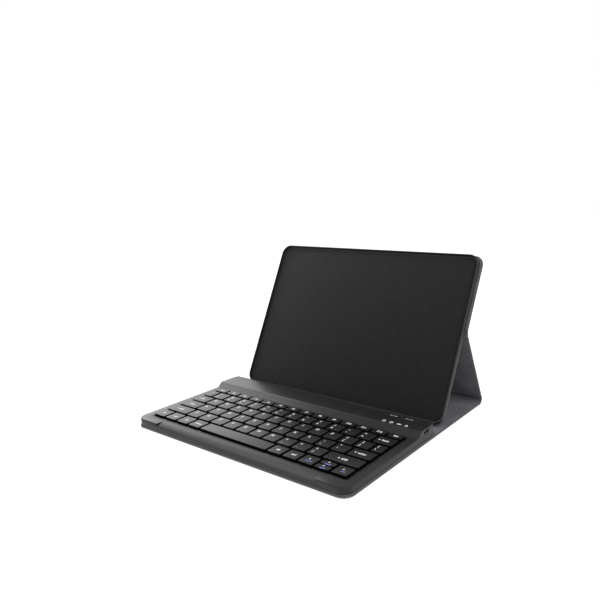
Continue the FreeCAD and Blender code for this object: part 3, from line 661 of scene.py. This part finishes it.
def painted_shade_finish():
    """Painted shade: flat black for hollows that lie in shade, with a fine grain."""
    material, shader = start_material("painted_shade_black", PAINTED_SHADE_COLOUR, 0.9, specular=0.05)
    texture = noise(material, object_points(material), 4200.0)
    raise_grain(material, shader, texture, depth=0.02 * MM, strength=0.4)
    return material


def in_well(face):
    across = abs(face.center.x) < WELL_HALF_WIDTH
    along = WELL_ENDS[0] < face.center.y < WELL_ENDS[1]
    return across and along and WELL_LEVELS[0] < face.center.z < WELL_LEVELS[1]


def ends_scoop(face):
    # The scoop's end walls get painted shade: flat black for the shadow that lies on them.
    by_end = abs(abs(face.center.x) - SCOOP_HALF_WIDTH) < CASE_EASING
    return by_end and face.center.y < SCOOP_REAR and abs(face.normal.x) > SIDEWAYS


def paint_shade_in_hollows(piece):
    """Paints shade in flat black on the sunken field between the keys and on the ends of the scoop."""
    piece.data.materials.append(painted_shade_black)
    # Painted shade: faces in the sunken field and on the scoop's end walls take the flat black.
    for face in piece.data.polygons:
        if in_well(face) or ends_scoop(face):
            face.material_index = 1


def on_bar_rim(edge):
    """Whether an edge bounds the top of the rear bar, and not a light that is let into it."""
    middle = (edge.verts[0].co + edge.verts[1].co) / 2
    by_light = all(low - MM < place < high + MM
                   for low, place, high in zip(LIGHTS_LOW, middle, LIGHTS_HIGH))
    return all(abs(vert.co.z - BAR_TOP) < TOUCHING for vert in edge.verts) and not by_light


# Flat black that stands in for shade, used on the hollows of the deck and on the sides of the keys.
painted_shade_black = painted_shade_finish()
top_case = eased_copy("keyboard_top_case", "keyboard_deck", case_plastic, CASE_EASING,
                      soft_radius=BAR_ROUNDING, is_soft=on_bar_rim)
paint_shade_in_hollows(top_case)
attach(top_case, "keyboard")


# Charge port, power switch and indicator lights
# A plated socket in the right end of the bar and a slide switch in the left end. Two pairs of frosted
# lights are let into the bar's top, with a row of four small printed signs in front of them.

PORT_COLOUR = (0.16, 0.16, 0.165)
LIGHT_COLOUR = (0.35, 0.36, 0.38)
PRINT_WHITE = (0.86, 0.86, 0.86)
SIGN_SIZE = 3.6 * MM
SIGN_FIRST = Vector((2.6 * MM, -13.2 * MM, 0))
SIGN_STEP = Vector((7.7 * MM, 0, 0))
STROKE = 0.75 * MM
INK_THICK = 0.03 * MM


def print_finish(name, colour):
    """Screen-printed ink, slightly uneven."""
    material, shader = start_material(name, colour, 0.6, specular=0.3)
    thin = tuple(0.85 * part for part in colour)
    vary_colour(material, shader, object_points(material), 2500.0, thin, colour)
    return material


def give_ink_depth(shape, faces):
    """Makes flat marks as thick as a coat of ink, on top of the surface that they are drawn on."""
    verts = {vert for face in faces for vert in face.verts}
    bmesh.ops.translate(shape, verts=list(verts), vec=(0, 0, INK_THICK))
    bmesh.ops.solidify(shape, geom=faces, thickness=INK_THICK)


def ring_mark(shape, middle, radius, segments=20):
    """A printed ring: a disc with its middle taken out."""
    disc = bmesh.ops.create_circle(shape, cap_ends=True, radius=radius, segments=segments,
                                   matrix=Matrix.Translation(middle))
    core = disc["verts"][0].link_faces[0]
    ring = bmesh.ops.inset_region(shape, faces=[core], thickness=STROKE, use_boundary=True,
                                  use_even_offset=True)
    bmesh.ops.delete(shape, geom=[core], context="FACES")
    give_ink_depth(shape, ring["faces"])


def bar_mark(shape, middle, width, height):
    """A printed bar, lying flat."""
    place = Matrix.Translation(middle) @ Matrix.Diagonal((width, height, 1, 1))
    bar = bmesh.ops.create_grid(shape, x_segments=1, y_segments=1, size=0.5, matrix=place)
    give_ink_depth(shape, bar["verts"][0].link_faces[:])


def arrow_mark(shape, middle, radius, turn):
    """A printed arrow head, which points to the rear at no turn."""
    place = Matrix.Translation(middle) @ Matrix.Rotation(turn, 4, "Z")
    head = bmesh.ops.create_circle(shape, cap_ends=True, radius=radius, segments=3, matrix=place)
    give_ink_depth(shape, head["verts"][0].link_faces[:])


def light_signs():
    """The signs by the lights, in plain strokes: power, link, charge and capitals."""
    first = Vector((LIGHTS_LOW.x, LIGHTS_LOW.y, BAR_TOP)) + SIGN_FIRST
    power, link, charge, capitals = [first + number * SIGN_STEP for number in range(4)]
    shape = bmesh.new()
    ring_mark(shape, power, SIGN_SIZE / 2)
    bar_mark(shape, power + Vector((0, SIGN_SIZE * 0.45, 0)), STROKE, SIGN_SIZE * 0.5)
    ring_mark(shape, link, SIGN_SIZE / 2)
    bar_mark(shape, link, STROKE, STROKE)
    bar_mark(shape, charge, SIGN_SIZE, SIGN_SIZE * 0.5)
    bar_mark(shape, charge + Vector((SIGN_SIZE * 0.62, 0, 0)), STROKE, SIGN_SIZE * 0.22)
    arrow_mark(shape, capitals + Vector((0, SIGN_SIZE * 0.15, 0)), SIGN_SIZE / 2, 0)
    bar_mark(shape, capitals - Vector((0, SIGN_SIZE * 0.4, 0)), SIGN_SIZE * 0.5, STROKE)
    return shape


white_print = print_finish("white_print", PRINT_WHITE)
dull_plating = inner_finish("dull_plating", PORT_COLOUR, roughness=0.35, metallic=1.0, scale=300.0)
frosted_light = inner_finish("frosted_light", LIGHT_COLOUR, roughness=0.45, metallic=0.0, scale=1500.0)
paint("charge_port", dull_plating)
paint("power_switch", tray_plastic)
paint("indicator_lights", frosted_light)
signs = new_piece("light_signs", light_signs(), white_print)
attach(signs, "keyboard")


# Keys
# Flat moulded caps, each on its rubber dome, with their sides painted matt black as painted shade.
# White letters are printed small at the rear left, pairs of signs along the left side, and a blue word
# stands in front of each arrow.

KEY_DARK = (0.009, 0.009, 0.0095)
KEY_LIGHT = (0.012, 0.012, 0.0125)
KEY_EASING = 0.35 * MM
TOP_UPRIGHTNESS = 0.97
KEY_PITCH = 16.6 * MM
ROW_PITCH = 15.0 * MM
ROW_UNITS = 14
KEY_FRONT = 13.5 * MM - COVER_DEPTH / 2
KEY_DEPTH = 12.8 * MM
FUNCTION_DEPTH = 8.2 * MM
LETTER_SIZE = 4.4 * MM
LETTER_ASIDE = Vector((-2.9 * MM, 2.6 * MM, 0))
PAIR_SIZE = 3.7 * MM
PAIR_SPREAD = 1.5
PAIR_ASIDE = Vector((-3.4 * MM, 0.4 * MM, 0))
WORD_SIZE = 3.6 * MM
BLUE_WORD_SIZE = 2.9 * MM
BOLDNESS = 0.16 * MM
ARROW_RADIUS = 1.2 * MM
ARROW_ASIDE = Vector((-0.7 * MM, 1.55 * MM, 0))
WORD_ARROW_RADIUS = 1.3 * MM
WORD_ARROW_GAP = 2.4 * MM
PRINT_BLUE = (0.17, 0.18, 0.46)
TO_LEFT = math.pi / 2
ARROW_KEYS = {"left_arrow_key": ("home", TO_LEFT), "up_arrow_key": ("pgup", 0),
              "down_arrow_key": ("pgdn", 2 * TO_LEFT), "right_arrow_key": ("end", -TO_LEFT)}
WORD_ARROWS = {"shift": 0, "enter": TO_LEFT, "back": TO_LEFT, "tab": -TO_LEFT}


def keys_of(node, legends, units=1):
    """Keys side by side that share a node, each with its legend and its width in units."""
    return [(node, units, legend) for legend in legends]


BRACKETS = ("{\n[", "}\n]")
NUMBER_PAIRS = [f"{upper}\n{lower}" for upper, lower in zip("!@#$%^&*()_+", "1234567890-=")]
LEGEND_ROWS = [
    keys_of("modifier_keys", ("fn", "ctrl", "alt", "menu")) + keys_of("space_bar", ("",), 5)
    + keys_of("modifier_keys", ("alt", "ctrl")),
    keys_of("left_shift_key", ("shift",), 1.75) + keys_of("lower_letter_keys", "ZXCVBNM")
    + keys_of("lower_letter_keys", ("<\n,", ">\n.", "?\n/"))
    + keys_of("right_shift_key", ("shift",), 2.25),
    keys_of("caps_lock_key", ("caps",), 1.5) + keys_of("home_letter_keys", "ASDFGHJKL")
    + keys_of("home_letter_keys", (":\n;", "\"\n'")) + keys_of("enter_key", ("enter",), 1.5),
    keys_of("tab_key", ("tab",), 1.25) + keys_of("upper_letter_keys", "QWERTYUIOP")
    + keys_of("upper_letter_keys", BRACKETS) + keys_of("upper_letter_keys", ("|\n\\",), 0.75),
    keys_of("number_keys", ("~\n`",), 0.75) + keys_of("number_keys", NUMBER_PAIRS)
    + keys_of("backspace_key", ("back",), 1.25),
    keys_of("escape_key", ("esc",)) + keys_of("function_keys", [f"F{number}" for number in range(1, 13)])
    + keys_of("function_keys", ("del",)),
]


def lettering(shape, words, height, middle):
    """Adds printed lettering, flat and centred at a place, to a mesh. Gives its width."""
    text = bpy.data.curves.new("lettering", "FONT")
    text.body = words
    text.size = height
    text.align_x = "CENTER"
    text.align_y = "CENTER"
    text.space_line = PAIR_SPREAD
    text.resolution_u = 2
    text.offset = BOLDNESS
    text.extrude = INK_THICK / 2
    holder = bpy.data.objects.new("lettering", text)
    bpy.context.scene.collection.objects.link(holder)
    bpy.context.view_layer.update()
    shown = holder.evaluated_get(bpy.context.evaluated_depsgraph_get())
    printed = bpy.data.meshes.new_from_object(shown)
    width = holder.dimensions.x
    printed.transform(Matrix.Translation(middle))
    shape.from_mesh(printed)
    bpy.data.objects.remove(holder)
    bpy.data.curves.remove(text)
    bpy.data.meshes.remove(printed)
    return width


def key_legend(shape, legend, middle, units):
    """The print on one key: a pair of signs, a word, which may have an arrow, or a letter."""
    if "\n" in legend:
        lettering(shape, legend, PAIR_SIZE, middle + PAIR_ASIDE * units)
    elif len(legend) > 1:
        width = lettering(shape, legend, WORD_SIZE, middle)
        if legend in WORD_ARROWS:
            beside = middle - Vector((width / 2 + WORD_ARROW_GAP, 0, 0))
            arrow_mark(shape, beside, WORD_ARROW_RADIUS, WORD_ARROWS[legend])
    elif legend:
        lettering(shape, legend, LETTER_SIZE, middle + LETTER_ASIDE)


def key_legends():
    """The white legends of all rows, in one mesh for each key node."""
    shapes = {}
    for number, row in enumerate(LEGEND_ROWS):
        depth = KEY_DEPTH if number < len(LEGEND_ROWS) - 1 else FUNCTION_DEPTH
        front = KEY_FRONT + number * ROW_PITCH
        unit = -ROW_UNITS / 2
        for node, units, legend in row:
            place = Vector(((unit + units / 2) * KEY_PITCH, front + depth / 2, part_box(node)[1].z))
            if node not in shapes:
                shapes[node] = bmesh.new()
            key_legend(shapes[node], legend, place, units)
            unit += units
    return shapes


def arrow_key_prints(node):
    """The two prints on an arrow key: a white arrow head, and a blue word in front of it."""
    word, turn = ARROW_KEYS[node]
    low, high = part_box(node)
    middle = Vector(((low.x + high.x) / 2, (low.y + high.y) / 2, high.z))
    head = bmesh.new()
    arrow_mark(head, middle + ARROW_ASIDE, ARROW_RADIUS, turn)
    second = bmesh.new()
    lettering(second, word, BLUE_WORD_SIZE, middle - ARROW_ASIDE)
    return head, second


def moulded_caps(node):
    """The caps of one node, with eased rims. Their tops are satin, and their sides are painted flat
    black as painted shade.
    """
    caps = eased_copy(node, f"{node}_caps", key_plastic, KEY_EASING)
    caps.data.materials.append(painted_shade_black)
    # Painted shade: faces that are not tops take flat black, and the tops keep the key plastic.
    for face in caps.data.polygons:
        face.material_index = 0 if face.normal.z > TOP_UPRIGHTNESS else 1
    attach(caps, f"{node}_body")


def print_on_key(name, shape, ink, node):
    legend_print = new_piece(name, shape, ink)
    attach(legend_print, f"{node}_body")


key_plastic = moulded_finish("key_plastic", KEY_DARK, KEY_LIGHT, roughness=0.34, grain=0.02 * MM)
blue_print = print_finish("blue_print", PRINT_BLUE)
for node, shape in key_legends().items():
    moulded_caps(node)
    if shape.faces:
        print_on_key(f"legend_{node}", shape, white_print, node)
    else:
        shape.free()
for node in ARROW_KEYS:
    moulded_caps(node)
    head, second = arrow_key_prints(node)
    print_on_key(f"arrow_{node}", head, white_print, node)
    print_on_key(f"blue_word_{node}", second, blue_print, node)


# Studio
# A pale floor and a plain white room. Two large lamps stand to the left, one low and one high, where
# they show in the gloss of the keys and of the scoop, and one hangs high on the right in front.

FLOOR_COLOUR = (0.80, 0.80, 0.80)
FLOOR_REACH = 6.0
ROOM_LIGHT = 0.5
FLOOR_GLOW = 1 - ROOM_LIGHT * FLOOR_COLOUR[0]
CAMERA_PLACE = (0.35712, -0.38158, 0.21823)
CAMERA_AZIMUTH = math.radians(36.45)
CAMERA_ELEVATION = math.radians(14.95)
CAMERA_ROLL = math.radians(-1.78)
CAMERA_LENS = 35.23
CAMERA_SENSOR = 36
CAMERA_SHIFT = (-0.1, 0.0648)


def seen_rays(material):
    """One for rays that show a surface: to the camera, in gloss or through glass. Otherwise zero."""
    path = add_node(material, "ShaderNodeLightPath").outputs
    mirrored = add_node(material, "ShaderNodeMath",
                        {0: path["Is Glossy Ray"], 1: path["Is Transmission Ray"]}, operation="MAXIMUM")
    seen = add_node(material, "ShaderNodeMath", {0: path["Is Camera Ray"], 1: mirrored.outputs["Value"]},
                    operation="MAXIMUM")
    return seen.outputs["Value"]


def lit_floor():
    """A wide floor that shows as white, apart from the shadow on it."""
    shape = bmesh.new()
    bmesh.ops.create_grid(shape, x_segments=1, y_segments=1, size=FLOOR_REACH)
    material, shader = start_material("studio_floor", FLOOR_COLOUR, 0.9, specular=0.0)
    shader.inputs["Emission Color"].default_value = (1, 1, 1, 1)
    glow = add_node(material, "ShaderNodeMath", {0: seen_rays(material), 1: FLOOR_GLOW},
                    operation="MULTIPLY")
    material.node_tree.links.new(glow.outputs["Value"], shader.inputs["Emission Strength"])
    return new_piece("studio_floor", shape, material)


def soft_lamp(name, place, target, size, power):
    """A round lamp of some size, turned to a target."""
    lamp = bpy.data.lights.new(name, "AREA")
    lamp.shape = "DISK"
    lamp.size = size
    lamp.energy = power
    holder = bpy.data.objects.new(name, lamp)
    holder.location = place
    holder.rotation_euler = (Vector(target) - Vector(place)).to_track_quat("-Z", "Y").to_euler()
    bpy.context.scene.collection.objects.link(holder)


def white_room():
    """The room: white where it is seen, and softer as a light."""
    room = bpy.data.worlds.new("studio_room")
    room.use_nodes = True
    backdrop = room.node_tree.nodes["Background"]
    backdrop.inputs["Color"].default_value = (1, 1, 1, 1)
    strength = add_node(room, "ShaderNodeMapRange", {"Value": seen_rays(room), "To Min": ROOM_LIGHT})
    room.node_tree.links.new(strength.outputs["Result"], backdrop.inputs["Strength"])
    return room


floor = lit_floor()
soft_lamp("low_left_lamp", place=(-1.2, 0.56, 0.5), target=(-0.05, -0.03, 0.02), size=0.8, power=3)
soft_lamp("high_left_lamp", place=(-1.13, 0.06, 0.71), target=(-0.05, -0.08, 0.01), size=0.9, power=6)
soft_lamp("right_lamp", place=(0.85, -0.35, 1.25), target=(0.1, 0.05, 0.02), size=0.8, power=9)
bpy.context.scene.world = white_room()

camera = bpy.data.cameras.new("photo_camera")
camera.lens = CAMERA_LENS
camera.sensor_width = CAMERA_SENSOR
camera.shift_x, camera.shift_y = CAMERA_SHIFT
camera_stand = bpy.data.objects.new("photo_camera", camera)
camera_stand.matrix_world = (
    Matrix.Translation(CAMERA_PLACE) @ Matrix.Rotation(CAMERA_AZIMUTH, 4, "Z")
    @ Matrix.Rotation(math.pi / 2 - CAMERA_ELEVATION, 4, "X") @ Matrix.Rotation(CAMERA_ROLL, 4, "Z"))
bpy.context.scene.collection.objects.link(camera_stand)
bpy.context.scene.camera = camera_stand
bpy.context.scene.view_settings.view_transform = "Standard"
